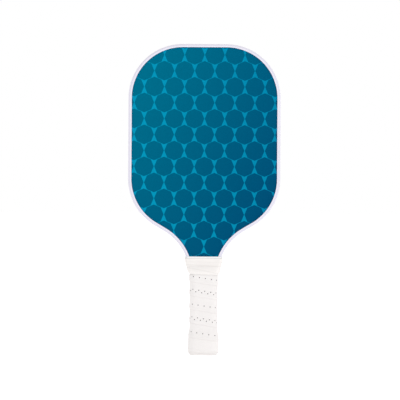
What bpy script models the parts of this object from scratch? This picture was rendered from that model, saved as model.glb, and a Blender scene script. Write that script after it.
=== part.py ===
"""Pickleball paddle: a honeycomb panel between printed face sheets, an edge guard and a wrapped handle.

The paddle stands on its butt cap. +Z runs up the handle to the head, X runs across the face, and the
front face looks along -Y. All lengths are in metres.
"""

import math

import bmesh
import bpy
from mathutils import Vector

# Head and throat outline, measured on the outside of the edge guard
OVERALL_LENGTH = 0.4064
HEAD_HALF_WIDTH = 0.0997
CORNER_RADIUS = 0.071
LOWER_CORNER_Z = 0.2297
THROAT_RADIUS = 0.0685
THROAT_CENTER_X = 0.0871
THROAT_CENTER_Z = 0.1022

# Panel
CORE_THICKNESS = 0.0124
SHEET_THICKNESS = 0.0006
MARGIN_DEPTH = 0.0001
LAYER_GAP = 0.0002
GAP = 0.0003
TANG_HALF_WIDTH = 0.015
SHOULDER_TOP_Z = 0.116
SHOULDER_BOTTOM_Z = 0.1108
CELL_PITCH = 0.018
CELL_WALL = 0.0016
CELL_EDGE_MARGIN = 0.002

# Edge guard
GUARD_WALL = 0.0015
GUARD_LIP_WIDTH = 0.0046
GUARD_LIP_THICKNESS = 0.0013
GUARD_EDGE_ROUND = 0.0026
GUARD_END_Z = 0.1185

# Handle
BLOCK_HALF_WIDTH = 0.0152
BLOCK_HALF_DEPTH = 0.01195
BLOCK_CHAMFER = 0.0044
BLOCK_TOP_Z = 0.1265
BLOCK_SLOPE_LENGTH = 0.0175
DEPTH_LESS_THAN_WIDTH = 0.00325
WRAP_HALF_WIDTH = 0.0181
WRAP_THICKNESS = 0.0022
WRAP_CHAMFER = 0.0056
WRAP_TOP_Z = 0.1098
WRAP_BOTTOM_Z = 0.0036
BACKING_THICKNESS = 0.0002
FLARE_HALF_WIDTH = 0.0197
FLARE_BOTTOM_Z = 0.019
FLARE_TOP_Z = 0.037
CORNER_CUT = 0.0012

# Butt cap
CAP_RIM_HALF_WIDTH = 0.0196
CAP_RIM_HEIGHT = 0.0032
CAP_RIM_ROUND = 0.0016
CAP_FLOOR = 0.0042
CAP_SKIRT_TOP_Z = 0.028
BADGE_HALF_LENGTH = 0.0105
BADGE_HALF_WIDTH = 0.0065
BADGE_THICKNESS = 0.0008
BADGE_SIDES = 28

# Staples
STAPLE_WIRE_RADIUS = 0.0004
STAPLE_CROWN = 0.010
STAPLE_LEG = 0.0046
STAPLE_Z = 0.017

# Neck tapes
BASE_TAPE_THICKNESS = 0.00035
BASE_TAPE_BOTTOM_Z = 0.1225
BASE_TAPE_TOP_Z = 0.1283
UPPER_TAPE_THICKNESS = 0.0005
UPPER_TAPE_BOTTOM_Z = 0.1158
UPPER_TAPE_TOP_Z = 0.1252
UPPER_TAPE_BOTTOM_HALF_DEPTH = 0.0116
LOWER_TAPE_THICKNESS = 0.0006
LOWER_TAPE_BOTTOM_Z = 0.1052
LOWER_TAPE_KNEE_Z = 0.1102
LOWER_TAPE_TOP_Z = 0.1153
LOWER_TAPE_TOP_HALF_WIDTH = 0.0214
LOWER_TAPE_TOP_HALF_DEPTH = 0.0122
NECK_CHAMFER_TOP = 0.0025
NECK_CHAMFER_BOTTOM = 0.0039

# Levels of the flare, on the butt cap and above it
FLARE_HEIGHTS_ON_CAP = [FLARE_BOTTOM_Z, 0.0225, 0.0255, CAP_SKIRT_TOP_Z]
FLARE_HEIGHTS_ABOVE_CAP = [0.031, 0.034, FLARE_TOP_Z]

CORE_HALF = CORE_THICKNESS / 2
SHEET_INNER_Y = CORE_HALF + LAYER_GAP
PANEL_HALF = SHEET_INNER_Y + SHEET_THICKNESS
GUARD_CHANNEL_HALF = PANEL_HALF + GAP
GUARD_HALF = GUARD_CHANNEL_HALF + GUARD_LIP_THICKNESS
PANEL_INSET = GUARD_WALL + GAP
BLOCK_INNER_Y = PANEL_HALF + GAP
HANDLE_BOTTOM_Z = CAP_FLOOR + GAP


def collection(name):
    made = bpy.data.collections.new(name)
    bpy.context.scene.collection.children.link(made)
    return made


def material(name, color, roughness, metallic=0.0):
    made = bpy.data.materials.new(name)
    made.use_nodes = True
    shader = made.node_tree.nodes["Principled BSDF"]
    shader.inputs["Base Color"].default_value = (*color, 1.0)
    shader.inputs["Roughness"].default_value = roughness
    shader.inputs["Metallic"].default_value = metallic
    return made


def finish(obj, finish_material, smooth=True):
    """Gives an object its material and shading, and puts it with the paddle's parts."""
    obj.data.materials.clear()
    obj.data.materials.append(finish_material)
    if smooth and obj.type == "MESH":
        obj.data.shade_smooth()
        obj.data.set_sharp_from_angle(angle=math.radians(35))
    PARTS.objects.link(obj)
    return obj


def arc(center_x, center_z, radius, start, end, steps):
    """Points on a circle from the angle start to the angle end, in radians."""
    points = []
    for i in range(steps + 1):
        angle = start + (end - start) * i / steps
        points.append((center_x + radius * math.cos(angle), center_z + radius * math.sin(angle)))
    return points


def flank_angle():
    """Angle of the normal to the straight flank that touches the lower corner and the throat arc."""
    across = THROAT_CENTER_X - (HEAD_HALF_WIDTH - CORNER_RADIUS)
    down = THROAT_CENTER_Z - LOWER_CORNER_Z
    distance = math.hypot(across, down)
    return math.atan2(down, across) + math.acos((CORNER_RADIUS + THROAT_RADIUS) / distance)


def right_side(inset, end_z):
    """The right half of the outline, moved in by inset, from the top down the throat to end_z."""
    corner_x = HEAD_HALF_WIDTH - CORNER_RADIUS
    convex = CORNER_RADIUS - inset
    concave = THROAT_RADIUS + inset
    flank = flank_angle()
    throat_end = math.pi - math.asin((end_z - THROAT_CENTER_Z) / concave)
    points = arc(corner_x, OVERALL_LENGTH - CORNER_RADIUS, convex, math.pi / 2, 0, 16)
    points += arc(corner_x, LOWER_CORNER_Z, convex, 0, flank, 11)
    points += arc(THROAT_CENTER_X, THROAT_CENTER_Z, concave, flank + math.pi, throat_end, 8)
    return points


def outline_half_width(z):
    """Half width of the guard's outside at a height in the throat's arc."""
    return THROAT_CENTER_X - math.sqrt(THROAT_RADIUS**2 - (z - THROAT_CENTER_Z) ** 2)


def panel_outline():
    """The closed outline of the core and the face sheets, with the tang."""
    right = right_side(PANEL_INSET, SHOULDER_TOP_Z)
    right += [(TANG_HALF_WIDTH, SHOULDER_BOTTOM_Z), (TANG_HALF_WIDTH, HANDLE_BOTTOM_Z)]
    return right + [(-x, z) for x, z in reversed(right)]


def poly_spline(curve, points, cyclic):
    spline = curve.splines.new("POLY")
    spline.points.add(len(points) - 1)
    for spline_point, point in zip(spline.points, points):
        spline_point.co = (*point, 1.0)
    spline.use_cyclic_u = cyclic


def flat_plate(name, outlines, thickness):
    """A plate in the XZ plane, its holes given by the outlines after the first."""
    curve = bpy.data.curves.new(name, "CURVE")
    curve.dimensions = "2D"
    curve.fill_mode = "BOTH"
    curve.extrude = thickness / 2
    for outline in outlines:
        poly_spline(curve, [(x, z, 0.0) for x, z in outline], cyclic=True)
    plate = bpy.data.objects.new(name, curve)
    plate.rotation_euler = (math.pi / 2, 0, 0)
    return plate


def mesh_from(curve_object, name):
    """A welded mesh object in the place of a curve object, which is removed."""
    bpy.context.view_layer.update()
    evaluated = curve_object.evaluated_get(bpy.context.evaluated_depsgraph_get())
    mesh = bpy.data.meshes.new_from_object(evaluated)
    work = bmesh.new()
    work.from_mesh(mesh)
    bmesh.ops.remove_doubles(work, verts=work.verts, dist=1e-6)
    bmesh.ops.recalc_face_normals(work, faces=work.faces)
    work.to_mesh(mesh)
    work.free()
    made = bpy.data.objects.new(name, mesh)
    made.matrix_world = curve_object.matrix_world
    bpy.data.objects.remove(curve_object)
    return made


def octagon_ring(z, half_width, half_depth, chamfer, corner_cut=CORNER_CUT):
    """A level octagon with its corners cut, counterclockwise from above."""
    corners = []
    for sign_x, sign_y in ((1, 1), (-1, 1), (-1, -1), (1, -1)):
        side = Vector((sign_x * half_width, sign_y * (half_depth - chamfer), z))
        end = Vector((sign_x * (half_width - chamfer), sign_y * half_depth, z))
        corners += [side, end] if sign_x == sign_y else [end, side]
    points = []
    for i, corner in enumerate(corners):
        for near in (corners[i - 1], corners[(i + 1) % len(corners)]):
            points.append(corner + (near - corner).normalized() * corner_cut)
    return points


def loft(name, rings, capped):
    """A surface through level rings, from the lowest up; capped makes it a closed solid."""
    work = bmesh.new()
    rows = [[work.verts.new(point) for point in ring] for ring in rings]
    count = len(rows[0])
    for low, high in zip(rows, rows[1:]):
        for i in range(count):
            j = (i + 1) % count
            work.faces.new((low[i], low[j], high[j], high[i]))
    if capped:
        work.faces.new(reversed(rows[0]))
        work.faces.new(rows[-1])
    mesh = bpy.data.meshes.new(name)
    work.to_mesh(mesh)
    work.free()
    return bpy.data.objects.new(name, mesh)


def sleeve(name, levels, thickness):
    """An open tube through levels of the outside, made solid inwards by thickness."""
    tube = loft(name, [octagon_ring(*level) for level in levels], capped=False)
    wall = tube.modifiers.new("wall", "SOLIDIFY")
    wall.thickness = thickness
    wall.offset = -1
    wall.use_even_offset = True
    return tube


def cut(target, cutter):
    """Takes a cutter out of a part and keeps the cutter as a hidden guide."""
    if cutter.name not in CUTTERS.objects:
        CUTTERS.objects.link(cutter)
        cutter.hide_render = True
        cutter.display_type = "WIRE"
    modifier = target.modifiers.new(cutter.name, "BOOLEAN")
    modifier.operation = "DIFFERENCE"
    modifier.solver = "EXACT"
    modifier.object = cutter


def is_inside(outline, x, z):
    """Whether a point lies in a closed outline, by counting the edges to its right."""
    inside = False
    for (x1, z1), (x2, z2) in zip(outline, outline[1:] + outline[:1]):
        if (z1 > z) != (z2 > z) and x < x1 + (z - z1) * (x2 - x1) / (z2 - z1):
            inside = not inside
    return inside


def honeycomb_cells(outline):
    """Hexagonal cells on a regular grid, those that fit wholly inside the outline."""
    reach = (CELL_PITCH - CELL_WALL) / math.sqrt(3)
    test_reach = reach + CELL_EDGE_MARGIN
    row_pitch = CELL_PITCH * math.sqrt(3) / 2
    columns = math.ceil(HEAD_HALF_WIDTH / CELL_PITCH)
    rows = math.ceil(OVERALL_LENGTH / row_pitch)
    corner_angles = [math.radians(60 * i + 30) for i in range(6)]
    cells = []
    for row in range(rows):
        z = HANDLE_BOTTOM_Z + CELL_PITCH * 0.75 + row * row_pitch
        shift = CELL_PITCH / 2 if row % 2 else 0.0
        for column in range(-columns, columns + 1):
            x = column * CELL_PITCH + shift
            tests = [(x + test_reach * math.cos(a), z + test_reach * math.sin(a)) for a in corner_angles]
            if all(is_inside(outline, *test) for test in tests):
                cells.append([(x + reach * math.cos(a), z + reach * math.sin(a)) for a in corner_angles])
    return cells


def honeycomb_core():
    outline = panel_outline()
    core = flat_plate("honeycomb_core", [outline] + honeycomb_cells(outline), CORE_THICKNESS)
    finish(core, material("polypropylene", (0.80, 0.82, 0.78), 0.55))


def printed_outline():
    """The visible face, clear of the guard's lip and of the tape round the neck."""
    right = right_side(GUARD_LIP_WIDTH + GAP, BASE_TAPE_TOP_Z + GAP * 1.5)
    return right + [(-x, z) for x, z in reversed(right)]


def margin_cutter(name, side):
    """Everything round the printed area, as deep as the print coat is thick."""
    reach = HEAD_HALF_WIDTH + GUARD_EDGE_ROUND
    around = [(-reach, 0.0), (reach, 0.0), (reach, OVERALL_LENGTH), (-reach, OVERALL_LENGTH)]
    frame = flat_plate(name + "_plate", [around, printed_outline()], MARGIN_DEPTH * 2)
    frame.location.y = side * PANEL_HALF
    CUTTERS.objects.link(frame)
    return mesh_from(frame, name)


def face_sheet(name, side):
    """A face sheet, its print coat proud of the bare margin; side is -1 at the front, 1 at the rear."""
    plate = flat_plate(name + "_plate", [panel_outline()], SHEET_THICKNESS)
    plate.location.y = side * (SHEET_INNER_Y + SHEET_THICKNESS / 2)
    CUTTERS.objects.link(plate)
    sheet = mesh_from(plate, name)
    cut(sheet, margin_cutter(name + "_margin", side))
    finish(sheet, material(name + "_print", (0.0, 0.11, 0.22), 0.35), smooth=False)


def guard_section():
    """The guard's U section: across the rim from its outermost line, and through the thickness."""
    lip_round = GUARD_LIP_THICKNESS * 0.4
    half = [
        (0.0, GUARD_HALF - GUARD_EDGE_ROUND * 1.5),
        (GUARD_EDGE_ROUND * 0.15, GUARD_HALF - GUARD_EDGE_ROUND * 0.75),
        (GUARD_EDGE_ROUND * 0.5, GUARD_HALF - GUARD_EDGE_ROUND * 0.22),
        (GUARD_EDGE_ROUND, GUARD_HALF),
        (GUARD_LIP_WIDTH - lip_round, GUARD_HALF),
        (GUARD_LIP_WIDTH, GUARD_HALF - lip_round),
        (GUARD_LIP_WIDTH, GUARD_CHANNEL_HALF),
        (GUARD_WALL, GUARD_CHANNEL_HALF),
    ]
    return half + [(inward, -y) for inward, y in reversed(half)]


def edge_guard():
    """The U section carried along the rim, from one side of the throat round the head to the other."""
    section = bpy.data.curves.new("guard_section", "CURVE")
    section.dimensions = "2D"
    poly_spline(section, [(inward, y, 0.0) for inward, y in guard_section()], cyclic=True)
    section_object = bpy.data.objects.new("guard_section", section)
    CUTTERS.objects.link(section_object)
    section_object.hide_render = True
    section_object.display_type = "WIRE"

    right = right_side(0.0, GUARD_END_Z)
    rim = [(-x, z, 0.0) for x, z in reversed(right)] + [(x, z, 0.0) for x, z in right]
    path = bpy.data.curves.new("edge_guard", "CURVE")
    path.dimensions = "2D"
    path.fill_mode = "NONE"
    path.bevel_mode = "OBJECT"
    path.bevel_object = section_object
    path.use_fill_caps = True
    poly_spline(path, rim, cyclic=False)
    guard = bpy.data.objects.new("edge_guard_path", path)
    guard.rotation_euler = (math.pi / 2, 0, 0)
    CUTTERS.objects.link(guard)
    guard = mesh_from(guard, "edge_guard")
    finish(guard, material("guard_plastic", (0.84, 0.82, 0.88), 0.4))


def block_section(side):
    """Half of the handle's octagon, from the tang's face outwards."""
    return [
        (-BLOCK_HALF_WIDTH, side * BLOCK_INNER_Y),
        (BLOCK_HALF_WIDTH, side * BLOCK_INNER_Y),
        (BLOCK_HALF_WIDTH, side * (BLOCK_HALF_DEPTH - BLOCK_CHAMFER)),
        (BLOCK_HALF_WIDTH - BLOCK_CHAMFER, side * BLOCK_HALF_DEPTH),
        (-BLOCK_HALF_WIDTH + BLOCK_CHAMFER, side * BLOCK_HALF_DEPTH),
        (-BLOCK_HALF_WIDTH, side * (BLOCK_HALF_DEPTH - BLOCK_CHAMFER)),
    ]


def handle_block(name, side, staple_slot):
    """A foam block on the tang, its top sloped down to the face."""
    bottom = [(x, y, HANDLE_BOTTOM_Z) for x, y in block_section(side)]
    top = []
    for x, y in block_section(side):
        rise = (abs(y) - BLOCK_INNER_Y) / (BLOCK_HALF_DEPTH - BLOCK_INNER_Y)
        top.append((x, y, BLOCK_TOP_Z - BLOCK_SLOPE_LENGTH * rise))
    rings = [bottom, top]
    if side < 0:
        rings = [ring[::-1] for ring in rings]
    block = loft(name, rings, capped=True)
    cut(block, staple_slot)
    finish(block, material(name + "_foam", (0.55, 0.50, 0.42), 0.8), smooth=False)


def staple_wire(name, side, radius, extra):
    """A staple lying across the handle, its legs pointing into it; extra lengthens the legs."""
    skirt_half_depth = flare_half_width(STAPLE_Z) - WRAP_THICKNESS - GAP - DEPTH_LESS_THAN_WIDTH
    crown_y = side * (skirt_half_depth - STAPLE_WIRE_RADIUS)
    tip_y = crown_y - side * (STAPLE_LEG + extra)
    curve = bpy.data.curves.new(name, "CURVE")
    curve.dimensions = "3D"
    curve.bevel_depth = radius
    curve.bevel_resolution = 2
    curve.use_fill_caps = True
    half = STAPLE_CROWN / 2
    route = [(-half, tip_y), (-half, crown_y), (half, crown_y), (half, tip_y)]
    poly_spline(curve, [(x, y, STAPLE_Z) for x, y in route], cyclic=False)
    wire = bpy.data.objects.new(name + "_route", curve)
    CUTTERS.objects.link(wire)
    return mesh_from(wire, name)


def flare_half_width(z):
    """Half width of the wrap's outside, which opens out over the butt cap."""
    share = min(1.0, max(0.0, (FLARE_TOP_Z - z) / (FLARE_TOP_Z - FLARE_BOTTOM_Z)))
    ease = share * share * (3 - 2 * share)
    return WRAP_HALF_WIDTH + (FLARE_HALF_WIDTH - WRAP_HALF_WIDTH) * ease


def handle_level(z, inward, corner_cut=CORNER_CUT):
    """An octagon level of the handle, inward from the wrap's outside."""
    half_width = flare_half_width(z) - inward
    chamfer = WRAP_CHAMFER - inward * (2 - math.sqrt(2))
    return (z, half_width, half_width - DEPTH_LESS_THAN_WIDTH, chamfer, corner_cut)


def butt_cap(staple_slots):
    """A cup over the handle's end, with a rounded rim and a recess for the badge."""
    rim_depth = CAP_RIM_HALF_WIDTH - DEPTH_LESS_THAN_WIDTH
    rings = []
    for i in range(4):
        angle = math.pi / 2 * i / 3
        z = CAP_RIM_ROUND * (1 - math.cos(angle))
        inward = CAP_RIM_ROUND * (1 - math.sin(angle))
        rings.append(octagon_ring(z, CAP_RIM_HALF_WIDTH - inward, rim_depth - inward, WRAP_CHAMFER))
    rings.append(octagon_ring(CAP_RIM_HEIGHT, CAP_RIM_HALF_WIDTH, rim_depth, WRAP_CHAMFER))
    for z in [CAP_RIM_HEIGHT + LAYER_GAP] + FLARE_HEIGHTS_ON_CAP:
        rings.append(octagon_ring(*handle_level(z, WRAP_THICKNESS + GAP)))
    cap = loft("butt_cap", rings, capped=True)

    inside_width = BLOCK_HALF_WIDTH + GAP
    inside_depth = BLOCK_HALF_DEPTH + GAP
    cavity_rings = [
        octagon_ring(z, inside_width, inside_depth, BLOCK_CHAMFER, corner_cut=GAP)
        for z in (CAP_FLOOR, CAP_SKIRT_TOP_Z + CAP_FLOOR)
    ]
    cut(cap, loft("cap_cavity", cavity_rings, capped=True))
    cut(cap, oval_plate("badge_recess", GAP, BADGE_THICKNESS + GAP, -GAP))
    for slot in staple_slots:
        cut(cap, slot)
    finish(cap, material("cap_plastic", (0.80, 0.79, 0.76), 0.45))


def oval_plate(name, margin, top_z, bottom_z):
    """A level oval plate under the handle, wider than the badge by margin."""
    rings = []
    for z in (bottom_z, top_z):
        ring = []
        for i in range(BADGE_SIDES):
            angle = 2 * math.pi * i / BADGE_SIDES
            x = (BADGE_HALF_LENGTH + margin) * math.cos(angle)
            ring.append((x, (BADGE_HALF_WIDTH + margin) * math.sin(angle), z))
        rings.append(ring)
    return loft(name, rings, capped=True)


def butt_badge():
    badge = oval_plate("butt_badge", 0.0, BADGE_THICKNESS, 0.0)
    finish(badge, material("badge_plastic", (0.75, 0.75, 0.77), 0.35))


def grip_backing_tape():
    levels = []
    inward = WRAP_THICKNESS + GAP
    for z in [CAP_SKIRT_TOP_Z + GAP] + FLARE_HEIGHTS_ABOVE_CAP + [WRAP_TOP_Z]:
        levels.append(handle_level(z, inward, corner_cut=GAP))
    tape = sleeve("grip_backing_tape", levels, BACKING_THICKNESS)
    finish(tape, material("backing_paper", (0.70, 0.62, 0.48), 0.7))


def grip_wrap():
    heights = [WRAP_BOTTOM_Z] + FLARE_HEIGHTS_ON_CAP + FLARE_HEIGHTS_ABOVE_CAP + [WRAP_TOP_Z]
    levels = [handle_level(z, 0.0) for z in heights]
    wrap = sleeve("grip_wrap", levels, WRAP_THICKNESS)
    finish(wrap, material("cushion_wrap", (0.92, 0.90, 0.88), 0.6))


def neck_base_tape():
    outward = GAP + BASE_TAPE_THICKNESS
    middle_z = (BASE_TAPE_BOTTOM_Z + BASE_TAPE_TOP_Z) / 2
    heights = (BASE_TAPE_BOTTOM_Z, middle_z, BASE_TAPE_TOP_Z)
    levels = []
    for z in heights:
        levels.append((z, outline_half_width(z) + outward, GUARD_HALF + outward, NECK_CHAMFER_TOP))
    tape = sleeve("neck_base_tape", levels, BASE_TAPE_THICKNESS)
    finish(tape, material("base_tape_vinyl", (0.93, 0.93, 0.95), 0.3))


def upper_finishing_tape():
    """The band that binds the guard's ends; it deepens down towards the blocks' slope."""
    outward = GAP + BASE_TAPE_THICKNESS + LAYER_GAP + UPPER_TAPE_THICKNESS
    top_depth = GUARD_HALF + outward
    levels = []
    for share in (0.0, 0.5, 1.0):
        z = UPPER_TAPE_BOTTOM_Z + (UPPER_TAPE_TOP_Z - UPPER_TAPE_BOTTOM_Z) * share
        half_width = outline_half_width(z) + outward + GAP * (1 - share)
        half_depth = UPPER_TAPE_BOTTOM_HALF_DEPTH + (top_depth - UPPER_TAPE_BOTTOM_HALF_DEPTH) * share
        chamfer = NECK_CHAMFER_BOTTOM + (NECK_CHAMFER_TOP - NECK_CHAMFER_BOTTOM) * share
        levels.append((z, half_width, half_depth, chamfer))
    tape = sleeve("upper_finishing_tape", levels, UPPER_TAPE_THICKNESS)
    finish(tape, material("upper_tape_vinyl", (0.92, 0.91, 0.90), 0.45))


def lower_finishing_tape():
    """The band that steps down over the shoulder and holds the top of the grip wrap."""
    over_wrap = WRAP_HALF_WIDTH + LAYER_GAP + GAP + LOWER_TAPE_THICKNESS
    half_depth = over_wrap - DEPTH_LESS_THAN_WIDTH
    levels = [
        (LOWER_TAPE_BOTTOM_Z, over_wrap, half_depth, WRAP_CHAMFER),
        (LOWER_TAPE_KNEE_Z, over_wrap + LOWER_TAPE_THICKNESS, half_depth, WRAP_CHAMFER),
        (LOWER_TAPE_TOP_Z, LOWER_TAPE_TOP_HALF_WIDTH, LOWER_TAPE_TOP_HALF_DEPTH, NECK_CHAMFER_BOTTOM),
    ]
    tape = sleeve("lower_finishing_tape", levels, LOWER_TAPE_THICKNESS)
    finish(tape, material("lower_tape_vinyl", (0.92, 0.91, 0.90), 0.45))


def build():
    honeycomb_core()
    face_sheet("front_face_sheet", -1)
    face_sheet("rear_face_sheet", 1)
    edge_guard()
    slots = {}
    for name, side in (("front", -1), ("rear", 1)):
        slots[name] = staple_wire(name + "_staple_slot", side, STAPLE_WIRE_RADIUS + GAP, GAP)
        staple = staple_wire(name + "_staple", side, STAPLE_WIRE_RADIUS, 0.0)
        finish(staple, material(name + "_steel", (0.6, 0.6, 0.6), 0.3, metallic=1.0))
        handle_block(name + "_handle_block", side, slots[name])
    butt_cap(slots.values())
    butt_badge()
    grip_backing_tape()
    grip_wrap()
    neck_base_tape()
    upper_finishing_tape()
    lower_finishing_tape()


for old in list(bpy.data.objects):
    bpy.data.objects.remove(old)
PARTS = collection("pickleball_paddle")
CUTTERS = collection("cutters")
build()
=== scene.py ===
# Looks of the pickleball paddle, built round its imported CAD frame.
# The paddle stands on its butt cap at the origin: +Z runs up the handle, the front face looks along -Y.
# All lengths are in metres.

import math

import bmesh
import bpy
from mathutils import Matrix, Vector, noise

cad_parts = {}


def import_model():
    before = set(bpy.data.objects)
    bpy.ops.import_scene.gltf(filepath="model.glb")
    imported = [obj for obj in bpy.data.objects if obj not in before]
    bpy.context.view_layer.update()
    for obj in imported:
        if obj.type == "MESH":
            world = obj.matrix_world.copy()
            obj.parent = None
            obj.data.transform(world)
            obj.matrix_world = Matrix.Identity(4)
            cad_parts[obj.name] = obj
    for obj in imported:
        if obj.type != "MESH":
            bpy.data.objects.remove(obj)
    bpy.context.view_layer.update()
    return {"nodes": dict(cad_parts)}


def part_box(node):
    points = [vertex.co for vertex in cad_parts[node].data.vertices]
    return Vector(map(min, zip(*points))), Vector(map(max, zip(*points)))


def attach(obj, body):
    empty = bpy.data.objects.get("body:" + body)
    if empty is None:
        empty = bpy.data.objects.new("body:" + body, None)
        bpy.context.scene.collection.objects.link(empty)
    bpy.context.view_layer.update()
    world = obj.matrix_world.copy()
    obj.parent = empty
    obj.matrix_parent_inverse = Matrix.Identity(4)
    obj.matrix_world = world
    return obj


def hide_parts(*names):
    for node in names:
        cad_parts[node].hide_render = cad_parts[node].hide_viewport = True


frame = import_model()

MM = 0.001

# Rim outline, measured on the outside of the edge guard
HEAD_HALF_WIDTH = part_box("edge_guard")[1].x
HEAD_TOP_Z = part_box("edge_guard")[1].z
GUARD_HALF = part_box("edge_guard")[1].y
FACE_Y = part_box("rear_face_sheet")[1].y
CORNER_RADIUS = 71.0 * MM
LOWER_CORNER_Z = 229.7 * MM
THROAT_RADIUS = 68.5 * MM
THROAT_CENTER_X = 87.1 * MM
THROAT_CENTER_Z = 102.2 * MM

# Edge guard section
GUARD_END_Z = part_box("edge_guard")[0].z
GUARD_WALL = 1.5 * MM
GUARD_LIP = 4.6 * MM
GUARD_CHANNEL_HALF = FACE_Y + 0.3 * MM
GUARD_SHOULDER_ACROSS = 2.7 * MM
GUARD_SHOULDER_DEEP = 4.2 * MM
GUARD_LIP_ROUND = 0.45 * MM

# Grip
GRIP_BOTTOM_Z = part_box("grip_wrap")[0].z
GRIP_TOP_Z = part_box("grip_wrap")[1].z
GRIP_HALF_WIDTH = 18.5 * MM
GRIP_DEPTH_LESS = 3.65 * MM
GRIP_CHAMFER = 5.6 * MM
GRIP_CORNER_RADIUS = 7.0 * MM
FLARE_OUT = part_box("grip_wrap")[1].x - GRIP_HALF_WIDTH + 0.5 * MM
FLARE_BOTTOM_Z = 19.0 * MM
FLARE_TOP_Z = 37.0 * MM
NECK_SWELL = 0.5 * MM
NECK_SWELL_BOTTOM_Z = 68.0 * MM

# Where the neck tape presses the cushion in
TAPE_EDGE_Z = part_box("lower_finishing_tape")[0].z
TAPE_PRESS = 0.75 * MM
TAPE_PRESS_BOTTOM_Z = TAPE_EDGE_Z - 2.2 * MM
TAPE_PRESS_TOP_Z = TAPE_EDGE_Z + 0.4 * MM

# Wrap strip
STRIP_PITCH = 18.05 * MM
STRIP_WIDTH = 20.6 * MM
STRIP_THICKNESS = 2.1 * MM
STRIP_SWAY = 0.22 * MM
STRIP_SWAYS_PER_TURN = 2.3
STRIP_SWELL = 0.05 * MM
STRIP_SWELL_SCALE = 90.0
STRIP_SAMPLES = 1440
SEAM_AT_FRONT_Z = 21.0 * MM
OVERLAP_LIFT = 0.42 * MM
OVERLAP_LIFT_FULL = 2.4 * MM
OVERLAP_LIFT_END = 4.6 * MM
OVERLAP_CLIMB = 1.1 * MM
TURN_CLEARANCE = 0.02 * MM
EDGE_DROP = 0.6 * MM
EDGE_ROUND = 0.9 * MM
TOP_TAPER = 0.9 * MM
TOP_TAPER_WIDTH = 3.4 * MM
TRIM_MARGIN = 0.02 * MM

# Holes of the strip: their profile gives (share of the radius, depth) from the mouth down
HOLES_PER_TURN = 15.1
COLUMNS_PER_HOLE = 4
HOLE_SHIFT_COLUMNS = 2
HOLES_START_TURN = 0.3
HOLES_END_TURNS = 0.45
HOLE_ROW = 7.1 * MM
HOLE_STAGGER = 1.3 * MM
HOLE_RADIUS = 0.68 * MM
HOLE_SIDES = 12
HOLE_PROFILE = ((1.1, 0.0), (0.97, 0.07 * MM), (0.92, 0.22 * MM), (0.9, 1.5 * MM))

# Cap: the groove's levels are (height, distance in from the rim), the mouth's (height, distance out)
CAP_RIM_TOP_Z = GRIP_BOTTOM_Z - 0.03 * MM
CAP_RIM_HALF_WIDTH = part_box("butt_cap")[1].x
CAP_DEPTH_LESS = CAP_RIM_HALF_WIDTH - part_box("butt_cap")[1].y
CAP_EDGE_ROUND_UP = 2.9 * MM
CAP_EDGE_ROUND_IN = 3.5 * MM
CAP_EDGE_STEPS = 8
CAP_CHAMFER_MORE = 0.4 * MM
CAP_LEAST_RADIUS = 0.8 * MM
CAP_RIM_BEVEL = 0.3 * MM
CAP_FLOOR_Z = 4.2 * MM
CAP_GAP = 0.3 * MM
SKIRT_GAP = 0.5 * MM
SKIRT_STEPS = 6
RECESS_TOP_Z = 1.1 * MM
RECESS_MOUTH = ((0.35 * MM, 0.0), (0.1 * MM, 0.1 * MM), (0.0, 0.35 * MM))
FOOT_GROOVE = ((0.0, 6.0 * MM), (0.3 * MM, 5.7 * MM), (0.3 * MM, 5.0 * MM), (0.0, 4.7 * MM))


def srgb(red, green, blue):
    """A linear colour from 0 to 255 screen values."""
    values = []
    for part in (red, green, blue):
        share = part / 255
        values.append(share / 12.92 if share <= 0.04045 else ((share + 0.055) / 1.055) ** 2.4)
    return (*values, 1.0)


def clamp(value, low=0.0, high=1.0):
    return max(low, min(high, value))


def ease(value, low, high):
    """0 below low, 1 above high, and a smooth rise between them."""
    share = clamp((value - low) / (high - low))
    return share * share * (3 - 2 * share)


def wander(x, y, z, scale):
    """Smooth noise from -1 to 1 with features of about 1 / scale metres."""
    return noise.noise(Vector((x, y, z)) * scale)


# ---------------------------------------------------------------- meshes


def mesh_piece(name, points, faces, material, sharp_degrees=35):
    mesh = bpy.data.meshes.new(name)
    mesh.from_pydata([tuple(point) for point in points], [], faces)
    mesh.validate()
    work = bmesh.new()
    work.from_mesh(mesh)
    bmesh.ops.recalc_face_normals(work, faces=work.faces)
    work.to_mesh(mesh)
    work.free()
    mesh.shade_smooth()
    mesh.set_sharp_from_angle(angle=math.radians(sharp_degrees))
    mesh.materials.append(material)
    piece = bpy.data.objects.new(name, mesh)
    bpy.context.scene.collection.objects.link(piece)
    return piece


def keep_vector(piece, name, values):
    """Stores one vector for each point of the mesh, for the material to read."""
    attribute = piece.data.attributes.new(name, "FLOAT_VECTOR", "POINT")
    attribute.data.foreach_set("vector", [part for value in values for part in value])


def ring_faces(rows, count, closed_rows=False):
    """Quads between rings of count points each, numbered one after the other."""
    faces = []
    last = rows if closed_rows else rows - 1
    for row in range(last):
        low = row * count
        high = ((row + 1) % rows) * count
        for i in range(count):
            j = (i + 1) % count
            faces.append((low + i, low + j, high + j, high + i))
    return faces


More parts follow.
